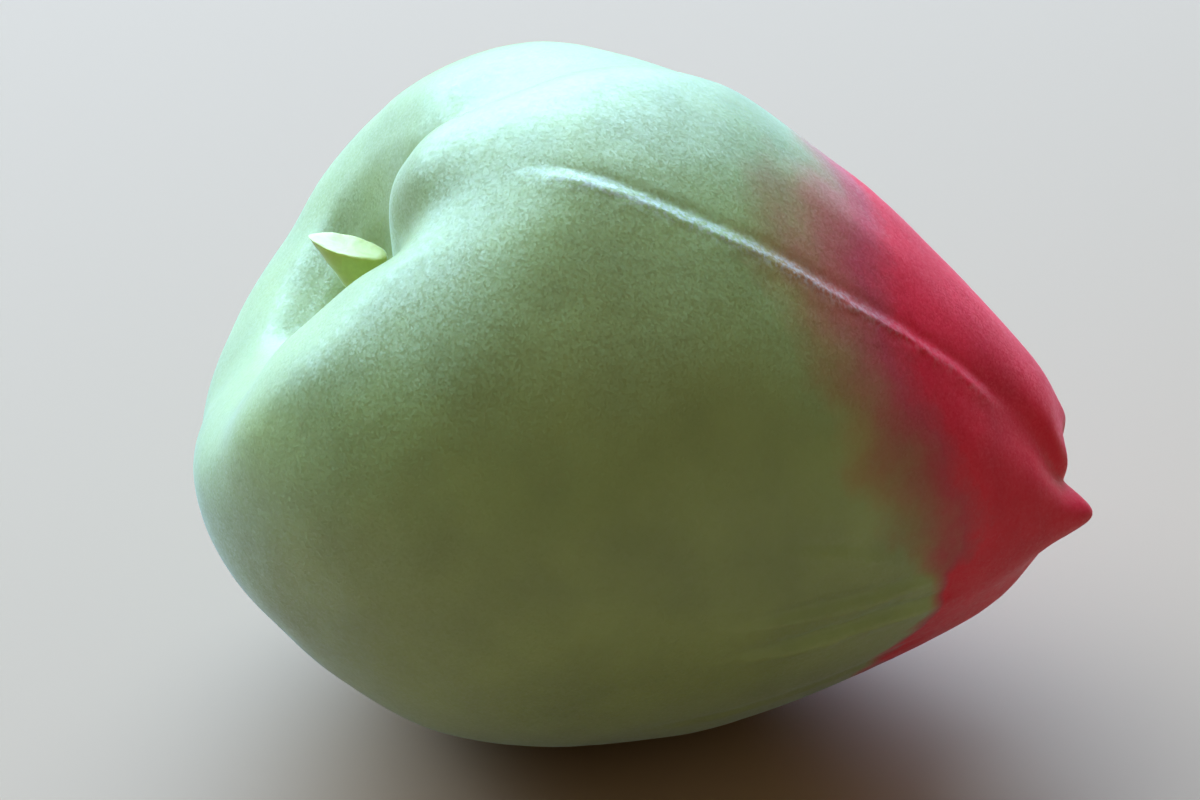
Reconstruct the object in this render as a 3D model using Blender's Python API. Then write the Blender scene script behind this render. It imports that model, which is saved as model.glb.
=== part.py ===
"""Flower bud wagashi: one bud of kneaded white bean paste, lying on its side on a small flat spot.

The base has a deep dimple with a short stem nub standing in it; five lobes run from the dimple
over the belly and are pinched together at the tip, where each lobe ends as a petal nub around a
small hollow.  Two solids: "bud" and "stem".  Metres, +Z up, tip towards +X, origin at the
bottom centre of the bud.
"""
import bpy
import bmesh
import numpy as np
from math import cos, pi, radians, sin

# driving sizes, in millimetres and degrees
BEND = 0.60             # the bud's axis turns this much per millimetre, so the tip drops its nose less
BASE_TILT = 37.7        # how far the dimple faces up from horizontal
FLAT_DEPTH = 0.5        # how much the belly is flattened where the bud rests
ROWS, COLUMNS = 50, 66  # facets from dimple to tip, and around

# profile from the dimple floor, over the rim and belly, to the hollow in the tip:
# distance along the axis, radius, and how far the section's centre sits above the axis
PROFILE = [
    (5.60, 0.00, -1.60),   # 0 dimple floor
    (5.10, 2.80, -1.50),
    (2.90, 5.20, -0.60),   # 2 dimple wall
    (1.20, 8.35, 0.00),    # 3 rim
    (1.65, 13.5, -1.15),
    (7.10, 18.4, -0.90),   # 5 shoulder
    (16.8, 20.3, -1.30),   # 6 widest
    (27.3, 17.3, -0.40),
    (35.8, 12.6, 1.10),    # 8 taper
    (42.4, 7.90, 2.00),
    (45.0, 5.10, 2.40),    # 10 outside of the petal ends
    (45.7, 3.40, 2.50),    # 11 petal lips
    (44.4, 1.70, 1.60),
    (43.2, 0.00, 1.20),    # 13 floor of the hollow
]

# the five grooves between the lobes: angle at each station of the profile (0 faces -Y, 90 is
# up), depth there as a share of the radius (negative in the dimple, where a groove widens the
# hollow), how far the rim is cut down, and angular width on the side below and above
GROOVES = [
    ([43, 43, 43, 46, 56, 66, 67, 67.5, 66, 57, 43, 40, 40, 40],
     [0, -.05, -.16, .00, .04, .00, .01, .01, .02, .10, .28, .38, .28, .10], 1.2, 13, 10),
    ([99, 99, 96, 96, 99, 107, 118, 124, 125, 124, 122, 121, 121, 121],
     [0, -.06, -.18, .04, .26, .10, .03, .02, .02, .06, .20, .33, .25, .10], 2.2, 9, 20),
    ([197, 197, 198, 202, 209, 216, 221, 222, 221, 219, 218, 218, 218, 218],
     [0, -.03, -.08, .00, .05, .05, .03, .02, .02, .06, .20, .30, .20, .10], 0.3, 14, 14),
    ([260, 260, 262, 266, 274, 281, 285, 286, 285, 283, 282, 281, 281, 281],
     [0, -.03, -.06, .00, .03, .05, .03, .02, .02, .06, .20, .30, .20, .10], 0.2, 14, 14),
    ([308, 308, 310, 316, 323, 329, 332, 333, 334, 337, 340, 342, 342, 342],
     [0, -.03, -.07, .00, .02, .02, .01, .01, .02, .05, .12, .20, .16, .10], 0.3, 17, 16),
]

# where the rim stands up round the dimple: height, angle of its middle, half width
RIM_RISES = [(1.6, -12, 48), (1.2, 72, 20)]

# how far the petal end of the lobe after each groove reaches past the shared lip; the last is
# the wide front lobe with the long nub
PETAL_REACH = [-0.6, 0.2, 0.4, -0.6, 1.8]

# the stem nub: flared, cut off at a slant
STEM_DIRECTION = (-0.45, 0.30, 0.84)
STEM_CUT_NORMAL = (0.26, 0.08, 0.96)
STEM_LENGTH = 3.3
STEM_FOOT_SIZE = (1.10, 0.90)   # half width and half depth
STEM_END_SIZE = (2.15, 1.25)
STEM_FOOT_LIFT = 1.2            # keeps the foot's edge 0.35 clear of the dimple's wall


def smooth(t):
    t = np.clip(t, 0.0, 1.0)
    return t * t * (3.0 - 2.0 * t)


def through(table, u):
    """Catmull-Rom curve through a table's rows, one row to a station, read at stations u."""
    i = np.minimum(u.astype(int), len(table) - 4)
    f = (u - i)[:, None]
    a, b, c, d = table[i], table[i + 1], table[i + 2], table[i + 3]
    bend = (2 * a - 5 * b + 4 * c - d) * f ** 2
    return 0.5 * (2 * b + (c - a) * f + bend + (3 * b - a - 3 * c + d) * f ** 3)


def profile_at(u):
    """Along, radius and lift at stations u; the radius passes through nothing at both ends."""
    p = np.array(PROFILE, float)
    mirror = np.array([1.0, -1.0, 1.0])
    return through(np.vstack([p[1] * mirror, p, p[-2] * mirror]), u)


def groove_at(angles, depths, u):
    """Angle in radians and depth of a groove at stations u, as columns."""
    g = np.array([angles, depths], float).T
    at = through(np.vstack([g[1], g, g[-2]]), u)
    return np.radians(at[:, :1]), at[:, 1:]


def wrapped(angle):
    return (angle + pi) % (2.0 * pi) - pi


def on_bud(along, radius, angle, lift):
    """Point of the bent bud: along its axis, out at an angle from a section centre that is lifted."""
    turn = radians(BEND)
    pitch = turn * along - radians(BASE_TILT)
    start = -radians(BASE_TILT)
    up = radius * np.sin(angle) + lift
    x = (np.sin(pitch) - sin(start)) / turn - up * np.sin(pitch)
    z = (cos(start) - np.cos(pitch)) / turn + up * np.cos(pitch)
    return np.stack([x, -radius * np.cos(angle), z], axis=-1)


def lobed(u, angle):
    """Distance along the axis, radius and section lift of the lobed bud."""
    curve = profile_at(u)
    along = np.repeat(curve[:, :1], angle.size, axis=1)
    valley = np.zeros_like(along)
    lines = [groove_at(angles, depths, u) for angles, depths, _, _, _ in GROOVES]
    at_tip = smooth((u - 8.6) / 2.2) * (1.0 - smooth((u - 11.2) / 1.4))
    at_cut = smooth((u - 1.6) / 1.2) * (1.0 - smooth((u - 3.3) / 1.3))
    for k, (_, _, cut, below, above) in enumerate(GROOVES):
        centre, depth = lines[k]
        away = wrapped(angle - centre)
        width = np.radians(below + (above - below) * smooth(away / radians(8.0) + 0.5))
        across_groove = np.exp(-(away / width) ** 2)
        valley += depth * across_groove
        along = along + cut * at_cut[:, None] * across_groove
        span = (lines[(k + 1) % len(lines)][0] - centre) % (2.0 * pi)
        across = np.clip(((angle - centre) % (2.0 * pi)) / span, 0.0, 1.0)
        along = along + PETAL_REACH[k] * at_tip[:, None] * np.sin(pi * across) ** 2
    at_rim = smooth((u - 1.2) / 1.6) * (1.0 - smooth((u - 3.6) / 2.4))
    for height, middle, half in RIM_RISES:
        bump = np.exp(-(wrapped(angle - radians(middle)) / radians(half)) ** 2)
        along = along - height * at_rim[:, None] * bump
    radius = np.maximum(curve[:, 1:2], 0.0) * (1.0 - valley)
    return along, radius, curve[:, 2:3]


def add_solid(name, rings, colour, roughness):
    """Closed solid from rings of points; a ring whose points coincide becomes one pole vertex."""
    mesh = bpy.data.meshes.new(name)
    shape = bmesh.new()
    rows = []
    for ring in rings:
        if np.ptp(ring, axis=0).max() < 1e-4:
            rows.append([shape.verts.new(ring[0] / 1000.0)])
        else:
            rows.append([shape.verts.new(point / 1000.0) for point in ring])
    for low, high in zip(rows, rows[1:]):
        n = max(len(low), len(high))
        for k in range(n):
            corners = [low[k % len(low)], low[(k + 1) % len(low)],
                       high[(k + 1) % len(high)], high[k % len(high)]]
            shape.faces.new(list(dict.fromkeys(corners)))
    for row in (rows[0], rows[-1]):
        if len(row) > 1:
            shape.faces.new(row)
    bmesh.ops.recalc_face_normals(shape, faces=shape.faces)
    for face in shape.faces:
        face.smooth = True
    shape.to_mesh(mesh)
    shape.free()
    solid = bpy.data.objects.new(name, mesh)
    bpy.context.collection.objects.link(solid)
    material = bpy.data.materials.new(name + "_paste")
    material.use_nodes = True
    shader = material.node_tree.nodes["Principled BSDF"]
    shader.inputs["Base Color"].default_value = (*colour, 1.0)
    shader.inputs["Roughness"].default_value = roughness
    mesh.materials.append(material)
    return solid


for leftover in list(bpy.data.objects):
    bpy.data.objects.remove(leftover, do_unlink=True)

# bud: the belly is flattened where it rests, and the flat comes to z = 0
station = np.linspace(0.0, len(PROFILE) - 1.0, ROWS)
angle = np.linspace(0.0, 2.0 * pi, COLUMNS, endpoint=False)[None, :]
along, radius, lift = lobed(station, angle)
bud = on_bud(along, radius, angle, lift)
floor = bud[..., 2].min() + FLAT_DEPTH
low, high = bud.reshape(-1, 3).min(axis=0), bud.reshape(-1, 3).max(axis=0)
to_origin = -np.array([(low[0] + high[0]) / 2, (low[1] + high[1]) / 2, floor])
bud[..., 2] = np.maximum(bud[..., 2], floor)
bud += to_origin
add_solid("bud", bud, (0.20, 0.27, 0.07), 0.45)

# stem: rings from the foot to the slanted cut, the left corner of the cut drawn out to a point
direction = np.array(STEM_DIRECTION) / np.linalg.norm(STEM_DIRECTION)
cut = np.array(STEM_CUT_NORMAL) / np.linalg.norm(STEM_CUT_NORMAL)
foot = on_bud(np.array(PROFILE[0][0]), 0.0, 0.0, PROFILE[0][2]) + to_origin + direction * STEM_FOOT_LIFT
end = foot + direction * STEM_LENGTH
angle = np.linspace(0.0, 2.0 * pi, 24, endpoint=False)


def stem_ring(centre, normal, size, corner):
    side = np.cross((0.0, 1.0, 0.0), normal)
    side /= np.linalg.norm(side)
    back = np.cross(normal, side)
    wide = size[0] * (1.0 + corner * np.exp(-(wrapped(angle - pi) / 0.45) ** 2))
    return centre + np.outer(wide * np.cos(angle), side) + np.outer(size[1] * np.sin(angle), back)


foot_ring = stem_ring(foot, direction, STEM_FOOT_SIZE, 0.0)
end_ring = stem_ring(end, cut, STEM_END_SIZE, 0.12)
steps = [0.0, 0.2, 0.4, 0.6, 0.8, 1.0]
stem = [foot_ring + (end_ring - foot_ring) * step for step in steps]
add_solid("stem", stem, (0.42, 0.48, 0.12), 0.5)
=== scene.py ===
"""Flower bud wagashi lying on a pale surface: a bud of kneaded bean paste and its stem nub.

Lengths are in millimetres until a mesh is made; angles round the bud are in degrees, 0 facing
-Y and 90 up, and "along" is the distance from the dimple's rim down the bud's bent axis.
"""
from math import cos, pi, radians, sin

import bmesh
import bpy
import numpy as np
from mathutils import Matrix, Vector, noise


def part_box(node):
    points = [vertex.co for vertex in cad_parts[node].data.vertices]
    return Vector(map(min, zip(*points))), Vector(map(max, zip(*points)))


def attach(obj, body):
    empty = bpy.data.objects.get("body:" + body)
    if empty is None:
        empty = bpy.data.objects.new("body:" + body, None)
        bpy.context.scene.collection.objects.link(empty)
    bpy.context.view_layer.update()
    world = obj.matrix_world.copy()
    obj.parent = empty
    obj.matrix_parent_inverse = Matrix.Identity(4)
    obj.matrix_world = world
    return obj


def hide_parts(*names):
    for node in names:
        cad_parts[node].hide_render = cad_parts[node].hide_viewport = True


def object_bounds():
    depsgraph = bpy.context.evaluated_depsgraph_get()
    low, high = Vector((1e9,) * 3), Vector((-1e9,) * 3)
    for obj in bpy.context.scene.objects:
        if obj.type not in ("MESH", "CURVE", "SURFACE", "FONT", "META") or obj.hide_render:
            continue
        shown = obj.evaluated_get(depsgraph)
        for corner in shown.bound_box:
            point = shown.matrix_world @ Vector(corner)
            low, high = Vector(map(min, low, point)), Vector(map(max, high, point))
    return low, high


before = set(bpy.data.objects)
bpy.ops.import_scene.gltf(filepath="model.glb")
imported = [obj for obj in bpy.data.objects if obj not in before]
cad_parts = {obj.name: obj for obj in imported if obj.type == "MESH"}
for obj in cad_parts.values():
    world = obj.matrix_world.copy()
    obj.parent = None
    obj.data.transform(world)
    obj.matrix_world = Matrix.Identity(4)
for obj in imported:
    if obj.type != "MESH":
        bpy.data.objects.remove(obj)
cad_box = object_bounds()

# ---------------------------------------------------------------------------------------------
# Bud: one ball of kneaded white bean paste (nerikiri), tinted green, with crimson paste
# blended in at the tip.  It is rolled by hand, dimpled with a thumb, marked into lobes with a
# wooden wedge and pinched together at the tip, where the lobe ends stand as petals.
# ---------------------------------------------------------------------------------------------
MM = 0.001
BEND = 0.60             # turn of the axis per millimetre
BASE_TILT = 37.7        # how far the dimple faces up
FLAT_DEPTH = 0.5        # how much the belly is flattened where it rests

# distance along the axis, radius, lift of the section's centre
PROFILE = [
    (5.60, 0.00, -1.60),   # 0 dimple floor
    (5.10, 2.80, -1.50),
    (2.90, 5.20, -0.60),   # 2 dimple wall
    (1.20, 8.35, 0.00),    # 3 rim
    (1.65, 13.5, -1.15),
    (7.10, 18.4, -0.90),   # 5 shoulder
    (16.8, 20.3, -1.30),   # 6 widest
    (27.3, 17.3, -0.40),
    (35.8, 12.6, 1.10),    # 8 taper
    (42.4, 7.90, 2.00),
    (45.0, 5.10, 2.40),    # 10 outside of the petal ends
    (45.7, 3.40, 2.50),    # 11 petal lips
    (44.4, 1.70, 1.60),
    (43.2, 0.00, 1.20),    # 13 floor of the hollow
]

# grooves between the lobes: angle at each station of the profile, depth there as a share of
# the radius (negative in the dimple, where a groove widens the hollow), how far the rim is cut
# down, and angular width on the side below and the side above
GROOVES = [
    ([43, 43, 43, 46, 56, 66, 67, 67.5, 66, 57, 43, 40, 40, 40],
     [0, -.05, -.16, .00, .04, .00, .01, .01, .02, .10, .28, .38, .28, .10], 1.2, 13, 10),
    ([99, 99, 96, 96, 99, 107, 118, 124, 125, 124, 122, 121, 121, 121],
     [0, -.06, -.18, .04, .26, .10, .03, .02, .02, .06, .20, .33, .25, .10], 2.2, 9, 20),
    ([197, 197, 198, 202, 209, 216, 221, 222, 221, 219, 218, 218, 218, 218],
     [0, -.03, -.08, .00, .05, .05, .03, .02, .02, .06, .20, .30, .20, .10], 0.3, 14, 14),
    ([260, 260, 262, 266, 274, 281, 285, 286, 285, 283, 282, 281, 281, 281],
     [0, -.03, -.06, .00, .03, .05, .03, .02, .02, .06, .20, .30, .20, .10], 0.2, 14, 14),
    ([308, 308, 310, 316, 323, 329, 332, 333, 334, 337, 340, 342, 342, 342],
     [0, -.03, -.07, .00, .02, .02, .01, .01, .02, .05, .12, .20, .16, .10], 0.3, 17, 16),
]

# where the rim stands up round the dimple: height, angle of its middle, half width
RIM_RISES = [(1.6, -12, 48), (1.2, 72, 20)]

# how far the petal end of the lobe after each groove reaches past the shared lip
PETAL_REACH = [-0.6, 0.2, 0.4, -0.6, 1.8]

# Creases pressed with a wedge, and wrinkles where the paste gathered.  Each is a ledge: the
# paste below the line stands up in a rounded lip and the paste above it drops away.
# path as (along, angle) points, height of the lip, depth of the drop, share of fraying
LEDGES = [
    ([(3.0, 66), (12, 66.5), (20, 67.5), (31, 67.5), (36, 66), (41, 63)], 0.17, 0.10, 1.0),
    ([(13.0, 118), (18, 119), (24, 122), (34, 124), (41, 121)], 0.12, 0.10, 0.7),
    ([(9.0, 217), (14, 220), (24, 221), (34, 219), (41, 218)], 0.12, 0.10, 0.7),
    ([(9.0, 282), (14, 284), (24, 285), (34, 283), (41, 282)], 0.12, 0.10, 0.7),
    ([(24.0, 327), (31, 331), (36, 329), (41, 328)], 0.06, 0.08, 0.5),
    ([(26.0, 2.5), (30, 4.5), (34, 4.8), (39, 7)], 0.22, 0.18, 0.5),
    ([(26.5, -5.0), (31, -3.8), (35, -3.2), (40.5, -4.5)], 0.30, 0.24, 0.4),
    ([(26.5, 20), (31, 18.8), (36.5, 14)], 0.14, 0.12, 0.5),
    ([(27.0, 176), (33, 172), (39, 173)], 0.06, 0.07, 0.5),
    ([(28.0, 252), (34, 249), (40, 251)], 0.06, 0.07, 0.5),
]

# the finger's ridge along the top lobe: from, to (along), angle, height, half width
RIDGE = (18.0, 34.0, 85.0, 0.13, 1.6)

# where the crimson starts and where it is full, by angle: (angle, along start, along full)
BLUSH = [
    (-60, 35.5, 38.5), (-25, 37.0, 38.4), (0, 37.9, 39.8), (12, 35.4, 40.4), (25, 31.6, 40.4),
    (35, 28.6, 39.4), (45, 26.0, 37.6), (55, 22.4, 35.2), (66, 16.8, 32.4), (82, 16.8, 31.0),
    (95, 20.8, 30.0), (110, 21.8, 28.8), (150, 21.5, 29.5), (200, 23.0, 31.0), (250, 28.0, 34.0),
    (300, 35.5, 38.5),
]

ROWS = 262
COLUMNS = 374


def smooth(t):
    t = np.clip(t, 0.0, 1.0)
    return t * t * (3.0 - 2.0 * t)


def wrapped(angle):
    return (angle + pi) % (2.0 * pi) - pi


def through(table, u):
    """Catmull-Rom curve through a table's rows, one row to a station, read at stations u."""
    i = np.minimum(u.astype(int), len(table) - 4)
    f = (u - i)[:, None]
    a, b, c, d = table[i], table[i + 1], table[i + 2], table[i + 3]
    return 0.5 * (2 * b + (c - a) * f + (2 * a - 5 * b + 4 * c - d) * f ** 2 + (3 * b - a - 3 * c + d) * f ** 3)


def profile_at(u):
    """Along, radius and lift at stations u; the radius passes through nothing at both ends."""
    p = np.array(PROFILE, float)
    mirror = np.array([1.0, -1.0, 1.0])
    return through(np.vstack([p[1] * mirror, p, p[-2] * mirror]), u)


def groove_at(angles, depths, u):
    """Angle in radians and depth of a groove at stations u, as columns."""
    g = np.array([angles, depths], float).T
    at = through(np.vstack([g[1], g, g[-2]]), u)
    return np.radians(at[:, :1]), at[:, 1:]


def even_stations(count):
    """Stations spaced evenly by length, a little closer in the dimple and at the petals."""
    fine = np.linspace(0.0, len(PROFILE) - 1.0, 4000)
    curve = profile_at(fine)
    step = np.hypot(np.diff(curve[:, 0]), np.diff(curve[:, 1]))
    middle = (fine[:-1] + fine[1:]) / 2
    weight = 1.0 + 0.5 * smooth(middle - 7.6) + 0.3 * (1.0 - smooth((middle - 3.5) / 1.5))
    length = np.concatenate([[0.0], np.cumsum(step * weight)])
    return np.interp(np.linspace(0.0, length[-1], count), length, fine)


def close_columns(count):
    """Angles round the bud, crowded along the front crease and the wrinkles below it."""
    fine = np.linspace(0.0, 2.0 * pi, 7201)
    middle = (fine[:-1] + fine[1:]) / 2
    crease = wrapped(middle - radians(67.0)) / radians(2.6)
    wrinkles = wrapped(middle - radians(4.0)) / radians(15.0)
    density = 1.0 + 3.2 * np.exp(-crease ** 2) + 0.9 * np.exp(-wrinkles ** 2)
    total = np.concatenate([[0.0], np.cumsum(density)])
    return np.interp(np.linspace(0.0, total[-1], count + 1)[:-1], total, fine)


def on_bud(along, radius, angle, lift):
    """Point of the bent bud: along its axis, out at an angle from a section centre that is lifted."""
    turn = radians(BEND)
    start = -radians(BASE_TILT)
    pitch = turn * along + start
    up = radius * np.sin(angle) + lift
    x = (np.sin(pitch) - sin(start)) / turn - up * np.sin(pitch)
    z = (cos(start) - np.cos(pitch)) / turn + up * np.cos(pitch)
    return np.stack([x, -radius * np.cos(angle), z], axis=-1)


def lobed(u, angle):
    """Axis distance and radius of the lobed bud, before its fine relief."""
    curve = profile_at(u)
    along = np.repeat(curve[:, :1], angle.size, axis=1)
    valley = np.zeros_like(along)
    lines = [groove_at(angles, depths, u) for angles, depths, _, _, _ in GROOVES]
    at_tip = smooth((u - 8.6) / 2.2) * (1.0 - smooth((u - 11.2) / 1.4))
    at_cut = smooth((u - 1.6) / 1.2) * (1.0 - smooth((u - 3.3) / 1.3))
    for k, (_, _, cut, below, above) in enumerate(GROOVES):
        centre, depth = lines[k]
        away = wrapped(angle - centre)
        width = np.radians(below + (above - below) * smooth(away / radians(8.0) + 0.5))
        across_groove = np.exp(-(away / width) ** 2)
        valley += depth * across_groove
        along = along + cut * at_cut[:, None] * across_groove
        span = (lines[(k + 1) % len(lines)][0] - centre) % (2.0 * pi)
        across = np.clip(((angle - centre) % (2.0 * pi)) / span, 0.0, 1.0)
        along = along + PETAL_REACH[k] * at_tip[:, None] * np.sin(pi * across) ** 2
    at_rim = smooth((u - 1.2) / 1.6) * (1.0 - smooth((u - 3.6) / 2.4))
    for height, middle, half in RIM_RISES:
        bump = np.exp(-(wrapped(angle - radians(middle)) / radians(half)) ** 2)
        along = along - height * at_rim[:, None] * bump
    radius = np.maximum(curve[:, 1:2], 0.0) * (1.0 - valley)
    return along, radius, curve[:, 2:3]


def wander(points, size, seed, octaves=2):
    """Smooth unevenness between about -1 and 1 with features of the given size."""
    flat = points.reshape(-1, 3) / size + seed
    values = [noise.fractal(Vector(p), 1.0, 2.0, octaves) for p in flat]
    return np.array(values).reshape(points.shape[:-1])


def ledge(offset, lip, drop):
    """Height across a ledge: a rounded lip on the low side of the line, a drop on the high side."""
    behind = np.minimum(offset + 0.55, 0.0)
    ahead = np.maximum(offset + 0.55, 0.0)
    bead = np.exp(behind / 1.0) * np.exp(-(ahead / 0.46) ** 2)
    trough = 0.7 * np.exp(-((offset - 0.28) / 0.45) ** 2) + 0.3 * np.exp(-np.abs(offset - 0.28) / 1.2)
    return lip * bead - drop * trough


def normals_of(points):
    down = np.gradient(points, axis=0)
    around = np.roll(points, -1, axis=1) - np.roll(points, 1, axis=1)
    normal = np.cross(down, around)
    length = np.linalg.norm(normal, axis=-1, keepdims=True)
    return normal / np.maximum(length, 1e-9)


def closed_mesh(name, rings, attributes=None):
    """Closed smooth mesh from rings of points in millimetres, each end gathered into a pole."""
    rows, columns = rings.shape[:2]
    inner = rings[1:-1].reshape(-1, 3)
    points = np.vstack([rings[0].mean(axis=0), inner, rings[-1].mean(axis=0)]) * MM
    last = len(points) - 1
    right = np.roll(np.arange(columns), -1)
    faces = [(0, 1 + k, 1 + right[k]) for k in range(columns)]
    for r in range(rows - 3):
        a = 1 + r * columns
        b = a + columns
        faces += [(a + k, b + k, b + right[k], a + right[k]) for k in range(columns)]
    a = 1 + (rows - 3) * columns
    faces += [(a + k, last, a + right[k]) for k in range(columns)]
    mesh = bpy.data.meshes.new(name)
    mesh.from_pydata(points.tolist(), [], [tuple(map(int, f)) for f in faces])
    shape = bmesh.new()
    shape.from_mesh(mesh)
    bmesh.ops.recalc_face_normals(shape, faces=shape.faces)
    shape.to_mesh(mesh)
    shape.free()
    mesh.shade_smooth()
    for key, values in (attributes or {}).items():
        flat = np.concatenate([[values[0].mean()], values[1:-1].ravel(), [values[-1].mean()]])
        mesh.attributes.new(key, "FLOAT", "POINT").data.foreach_set("value", flat.astype(np.float32))
    piece = bpy.data.objects.new(name, mesh)
    bpy.context.collection.objects.link(piece)
    return piece


stations = even_stations(ROWS)
angle = close_columns(COLUMNS)[None, :]
along, radius, lift = lobed(stations, angle)
body = on_bud(along, radius, angle, lift)
normal = normals_of(body)

# hand-rolled unevenness, quiet in the dimple and at the poles
relief = 0.15 * wander(body, 9.0, 11.3) + 0.022 * wander(body, 2.2, 41.7)
outside = smooth((stations - 1.5) / 2.0) * (1.0 - smooth((stations - 10.0) / 2.0))
relief *= outside[:, None]
fray = wander(body, 0.62, 7.9)

lit_edge = np.zeros_like(relief)
for path, lip, drop, frayed in LEDGES:
    start, end = path[0][0], path[-1][0]
    centre = np.radians(np.interp(along, [p[0] for p in path], [p[1] for p in path]))
    offset = wrapped(angle - centre) * radius + 0.16 * frayed * fray
    strength = smooth((along - start) / 4.5) * (1.0 - smooth((along - end + 4.0) / 4.0))
    strength = strength * outside[:, None]
    relief += strength * ledge(offset, lip * (1.0 + 0.4 * frayed * fray), drop)
    # The front crease also gets a painted highlight mask (lit_edge) along its lower lip, fading towards the tip.
    if frayed == 1.0:
        lit_edge = strength * np.exp(-((offset + 0.32) / 0.50) ** 2) * (1.0 - 0.8 * smooth((along - 20) / 14))

start, end, at, height, half = RIDGE
offset = wrapped(angle - radians(at)) * radius
run = smooth((along - start) / 5.0) * (1.0 - smooth((along - end + 6.0) / 6.0))
relief += height * run * np.exp(-(offset / half) ** 2) * outside[:, None]

body = body + normal * relief[..., None]

# set down on its flat and centred in the space the solid bud holds
low, high = (np.array(corner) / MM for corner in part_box("bud"))
floor_height = body[..., 2].min() + FLAT_DEPTH
body[..., 2] = np.maximum(body[..., 2], floor_height)
body_low, body_high = body.reshape(-1, 3).min(axis=0), body.reshape(-1, 3).max(axis=0)
set_down = (low + high) / 2 - (body_low + body_high) / 2
set_down[2] = low[2] - floor_height
body = body + set_down

table = np.array(BLUSH, float)
turned = np.degrees(angle) - 360.0 * (np.degrees(angle) > 300.0)
blush_start = np.interp(turned, table[:, 0], table[:, 1])
blush_full = np.interp(turned, table[:, 0], table[:, 2])
cloudy = wander(body, 3.2, 23.1, 3)
blush = (along + 1.5 * cloudy - blush_start) / (blush_full - blush_start)
blush = np.where(stations[:, None] > 9.5, 1.0, np.clip(blush, 0.0, 1.0))

bud = closed_mesh("bud_paste", body, {"blush": blush, "lit_edge": lit_edge, "cloudy": cloudy})


def linear(colour):
    """sRGB hex to linear RGBA."""
    parts = [int(colour[i:i + 2], 16) / 255 for i in (1, 3, 5)]
    return (*(p / 12.92 if p <= 0.04045 else ((p + 0.055) / 1.055) ** 2.4 for p in parts), 1.0)


def add_node(tree, kind, links=None, **settings):
    """Adds a node; settings are its properties or, by socket name or index, its inputs."""
    node = tree.nodes.new(kind)
    for key, value in settings.items():
        setattr(node, key, value)
    for socket, source in (links or {}).items():
        if isinstance(source, bpy.types.NodeSocket):
            tree.links.new(source, node.inputs[socket])
        else:
            node.inputs[socket].default_value = source
    return node


def ramp(tree, source, stops):
    node = add_node(tree, "ShaderNodeValToRGB", {0: source})
    elements = node.color_ramp.elements
    while len(elements) < len(stops):
        elements.new(0.5)
    for element, (place, colour) in zip(elements, stops):
        element.position = place
        element.color = linear(colour)
    return node.outputs[0]


def per_metre(size_in_mm):
    """Texture scale that gives features of this size."""
    return 1.0 / (size_in_mm * MM)


# Kneaded bean paste, rolled by hand: matt and slightly moist, with a fine sandy grain of
# sieved bean that glitters where the light grazes it, and a soft glow through thin edges.
paste = bpy.data.materials.new("kneaded_bean_paste_green_to_crimson")
paste.use_nodes = True
tree = paste.node_tree
shader = tree.nodes["Principled BSDF"]
place = add_node(tree, "ShaderNodeTexCoord").outputs["Object"]
blush_value = add_node(tree, "ShaderNodeAttribute", attribute_name="blush").outputs["Fac"]
mottle = add_node(tree, "ShaderNodeTexNoise", {"Vector": place, "Scale": per_metre(5.0), "Detail": 3.0})
grit = add_node(tree, "ShaderNodeTexNoise", {"Vector": place, "Scale": per_metre(0.4), "Detail": 3.0})
grains = add_node(tree, "ShaderNodeTexVoronoi", {"Vector": place, "Scale": per_metre(0.12)})
pinch = add_node(tree, "ShaderNodeMath", {0: grit.outputs["Fac"], 1: 0.10, 2: blush_value},
                 operation="MULTIPLY_ADD")
tint = ramp(tree, pinch.outputs[0], [
    (0.06, "#93A658"), (0.30, "#9E8C48"), (0.55, "#AC6848"), (0.80, "#C03A46"), (1.0, "#E01733")])
shade = add_node(tree, "ShaderNodeMapRange", {0: mottle.outputs["Fac"], 1: 0.3, 2: 0.7, 3: 0.88, 4: 1.10})
mottled = add_node(tree, "ShaderNodeVectorMath", {0: tint, 1: shade.outputs[0]}, operation="MULTIPLY")
# Painted highlight: along the front crease's lower lip (the lit_edge mask) the colour is mixed towards pale
# grey-cyan, broken into flecks by fine noise, standing in for light caught by the lip.
crease_highlight_mask = add_node(tree, "ShaderNodeAttribute", attribute_name="lit_edge").outputs["Fac"]
highlight_fleck_noise = add_node(tree, "ShaderNodeTexNoise", {"Vector": place, "Scale": per_metre(0.28), "Detail": 2.0})
highlight_flecks = add_node(tree, "ShaderNodeMapRange", {0: highlight_fleck_noise.outputs["Fac"], 1: 0.42, 2: 0.60, 3: 0.0, 4: 0.60})
painted_crease_highlight = add_node(tree, "ShaderNodeMath", {0: crease_highlight_mask, 1: highlight_flecks.outputs[0]}, operation="MULTIPLY")
pale = add_node(tree, "ShaderNodeMix", {"Factor": painted_crease_highlight.outputs[0], 6: mottled.outputs[0],
                                        7: linear("#C6CFD0")}, data_type="RGBA")
tree.links.new(pale.outputs[2], shader.inputs["Base Color"])

rough = add_node(tree, "ShaderNodeMapRange", {0: grit.outputs["Fac"], 1: 0.3, 2: 0.7, 3: 0.44, 4: 0.62})
tree.links.new(rough.outputs[0], shader.inputs["Roughness"])

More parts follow.
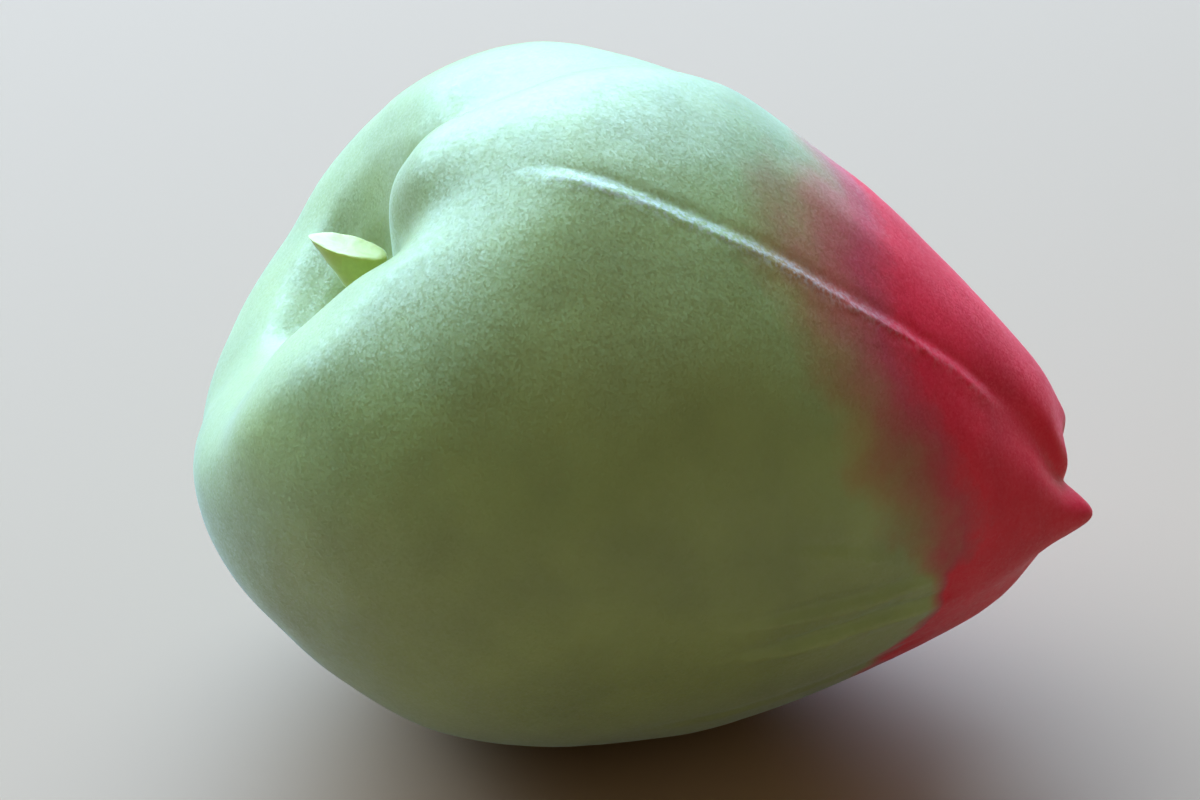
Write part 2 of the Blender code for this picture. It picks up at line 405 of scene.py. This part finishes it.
bump = add_node(tree, "ShaderNodeBump", {"Strength": 0.5, "Distance": 0.03 * MM, "Height": grit.outputs["Fac"]})
tilt = add_node(tree, "ShaderNodeVectorMath", {0: grains.outputs["Color"], 1: (0.5, 0.5, 0.5)}, operation="SUBTRACT")
facet = add_node(tree, "ShaderNodeVectorMath", {0: tilt.outputs[0], "Scale": 0.17}, operation="SCALE")
grain = add_node(tree, "ShaderNodeVectorMath", {0: bump.outputs[0], 1: facet.outputs[0]}, operation="ADD")
grain_normal = add_node(tree, "ShaderNodeVectorMath", {0: grain.outputs[0]}, operation="NORMALIZE")
tree.links.new(grain_normal.outputs[0], shader.inputs["Normal"])
shader.inputs["IOR"].default_value = 1.5
shader.inputs["Specular IOR Level"].default_value = 1.0
shader.inputs["Coat Weight"].default_value = 0.35
shader.inputs["Coat Roughness"].default_value = 0.5
shader.inputs["Subsurface Weight"].default_value = 0.25
shader.inputs["Subsurface Radius"].default_value = (1.0, 0.5, 0.25)
shader.inputs["Subsurface Scale"].default_value = 1.0 * MM
shader.inputs["Sheen Weight"].default_value = 0.4
shader.inputs["Sheen Roughness"].default_value = 0.45
haze = add_node(tree, "ShaderNodeMix", {"Factor": blush_value, 6: linear("#D2F0FF"),
                                        7: linear("#F0708E")}, data_type="RGBA")
gleam = add_node(tree, "ShaderNodeMix", {"Factor": blush_value, 6: linear("#F4FBFF"),
                                         7: linear("#F0607A")}, data_type="RGBA")
tree.links.new(haze.outputs[2], shader.inputs["Sheen Tint"])
tree.links.new(gleam.outputs[2], shader.inputs["Specular Tint"])

bud.data.materials.append(paste)
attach(bud, "root")
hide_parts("bud")

# ---------------------------------------------------------------------------------------------
# Stem nub: a pinch of yellow-green bean paste, rolled to a short flaring stalk, cut off at a
# slant and pressed by its foot into the dimple.  The cut's left corner is drawn to a point.
# ---------------------------------------------------------------------------------------------
STEM_DIRECTION = (-0.45, 0.30, 0.84)
STEM_CUT_NORMAL = (0.26, 0.08, 0.96)
STEM_LENGTH = 3.3
STEM_FOOT_LIFT = 1.2
STEM_FOOT_SIZE = (1.10, 0.90)
STEM_END_SIZE = (2.15, 1.25)
STEM_SIDES = 96

direction = np.array(STEM_DIRECTION) / np.linalg.norm(STEM_DIRECTION)
cut = np.array(STEM_CUT_NORMAL) / np.linalg.norm(STEM_CUT_NORMAL)
dimple_floor = on_bud(np.array(PROFILE[0][0]), 0.0, 0.0, PROFILE[0][2]) + set_down
foot = dimple_floor + direction * STEM_FOOT_LIFT
end = foot + direction * STEM_LENGTH
turn = np.linspace(0.0, 2.0 * pi, STEM_SIDES, endpoint=False)


def stem_ring(centre, normal, size, corner):
    side = np.cross((0.0, 1.0, 0.0), normal)
    side /= np.linalg.norm(side)
    back = np.cross(normal, side)
    wide = size[0] * (1.0 + corner * np.exp(-(wrapped(turn - pi) / 0.45) ** 2))
    return centre + np.outer(wide * np.cos(turn), side) + np.outer(size[1] * np.sin(turn), back)


foot_ring = stem_ring(foot, direction, STEM_FOOT_SIZE, 0.0)
end_ring = stem_ring(end, cut, STEM_END_SIZE, 0.12)
rings = [foot + (foot_ring - foot) * inward for inward in (0.0, 0.5, 0.85)]
rings += [foot_ring + (end_ring - foot_ring) * step for step in np.linspace(0.02, 0.97, 34)]
rings += [end + (end_ring - end) * inward - cut * down
          for inward, down in ((0.985, 0.03), (0.95, 0.0), (0.8, 0.01), (0.6, 0.04), (0.3, 0.07), (0.0, 0.08))]
stalk = np.array(rings)
stalk += normals_of(stalk) * (0.05 * wander(stalk, 0.9, 3.3))[..., None]
stem = closed_mesh("stem_nub", stalk)

# The same paste tinted yellow-green: matt, with a fine bumped grain all over.
stalk_paste = bpy.data.materials.new("kneaded_bean_paste_yellow_green")
stalk_paste.use_nodes = True
tree = stalk_paste.node_tree
shader = tree.nodes["Principled BSDF"]
place = add_node(tree, "ShaderNodeTexCoord").outputs["Object"]
grit = add_node(tree, "ShaderNodeTexNoise", {"Vector": place, "Scale": per_metre(0.35), "Detail": 3.0})
tint = add_node(tree, "ShaderNodeMix", {"Factor": grit.outputs["Fac"], 6: linear("#A2AE48"),
                                        7: linear("#BDC662")}, data_type="RGBA")
tree.links.new(tint.outputs[2], shader.inputs["Base Color"])
bump = add_node(tree, "ShaderNodeBump", {"Strength": 0.6, "Distance": 0.06 * MM, "Height": grit.outputs["Fac"]})
tree.links.new(bump.outputs[0], shader.inputs["Normal"])
shader.inputs["Roughness"].default_value = 0.5
shader.inputs["IOR"].default_value = 1.5
shader.inputs["Specular IOR Level"].default_value = 0.8
shader.inputs["Coat Weight"].default_value = 0.7
shader.inputs["Coat Roughness"].default_value = 0.5
shader.inputs["Sheen Weight"].default_value = 0.5
shader.inputs["Sheen Roughness"].default_value = 0.4
shader.inputs["Sheen Tint"].default_value = linear("#DDF2F2")
shader.inputs["Subsurface Weight"].default_value = 0.25
shader.inputs["Subsurface Radius"].default_value = (1.0, 0.6, 0.25)
shader.inputs["Subsurface Scale"].default_value = 0.8 * MM
stem.data.materials.append(stalk_paste)
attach(stem, "root")
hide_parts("stem")

# ---------------------------------------------------------------------------------------------
# Surface: a plain pale tabletop, matt, much larger than the bud.
# ---------------------------------------------------------------------------------------------
FLOOR_HALF = 900.0
corners = [(-FLOOR_HALF, -FLOOR_HALF, 0), (FLOOR_HALF, -FLOOR_HALF, 0), (FLOOR_HALF, FLOOR_HALF, 0),
           (-FLOOR_HALF, FLOOR_HALF, 0)]
mesh = bpy.data.meshes.new("tabletop")
mesh.from_pydata([tuple(c * MM for c in corner) for corner in corners], [], [(0, 1, 2, 3)])
tabletop = bpy.data.objects.new("tabletop", mesh)
bpy.context.collection.objects.link(tabletop)
table_paint = bpy.data.materials.new("matt_pale_laminate")
table_paint.use_nodes = True
shader = table_paint.node_tree.nodes["Principled BSDF"]
shader.inputs["Base Color"].default_value = linear("#A28468")
shader.inputs["Roughness"].default_value = 0.6
mesh.materials.append(table_paint)

# ---------------------------------------------------------------------------------------------
# Light: one large soft window behind and to the left, a weak room glow all round.
# ---------------------------------------------------------------------------------------------
centre = Vector(((cad_box[0] + cad_box[1]) / 2))


def soft_light(name, towards, distance, width, height, watts, colour):
    lamp = bpy.data.lights.new(name, "AREA")
    lamp.shape = "RECTANGLE"
    lamp.size = width
    lamp.size_y = height
    lamp.energy = watts
    lamp.color = linear(colour)[:3]
    holder = bpy.data.objects.new(name, lamp)
    bpy.context.collection.objects.link(holder)
    holder.location = centre + Vector(towards).normalized() * distance
    holder.rotation_euler = (centre - holder.location).to_track_quat("-Z", "Y").to_euler()


soft_light("window", (-0.33, 0.71, 0.62), 0.75, 1.50, 0.80, 36.0, "#B8DCFF")
soft_light("ceiling", (0.15, -0.25, 1.0), 1.00, 2.00, 2.00, 4.0, "#F2F2E4")

room = bpy.data.worlds.new("room")
bpy.context.scene.world = room
room.use_nodes = True
room.node_tree.nodes["Background"].inputs["Color"].default_value = linear("#FFDDB0")
room.node_tree.nodes["Background"].inputs["Strength"].default_value = 0.09
bpy.context.scene.view_settings.view_transform = "Standard"

# ---------------------------------------------------------------------------------------------
# Camera: close, looking down over the bud's side, tip to the right.
# ---------------------------------------------------------------------------------------------
CAMERA_AT = (-0.64, -176.83, 142.90)
CAMERA_LOOKS_AT = (-2.59, 0.0, 19.08)
FIELD_OF_VIEW = 18.0

lens = bpy.data.cameras.new("camera")
lens.angle = radians(FIELD_OF_VIEW)
lens.clip_start = 0.01
camera = bpy.data.objects.new("camera", lens)
bpy.context.collection.objects.link(camera)
camera.location = Vector(CAMERA_AT) * MM
camera.rotation_euler = (Vector(CAMERA_LOOKS_AT) - Vector(CAMERA_AT)).to_track_quat("-Z", "Y").to_euler()
bpy.context.scene.camera = camera
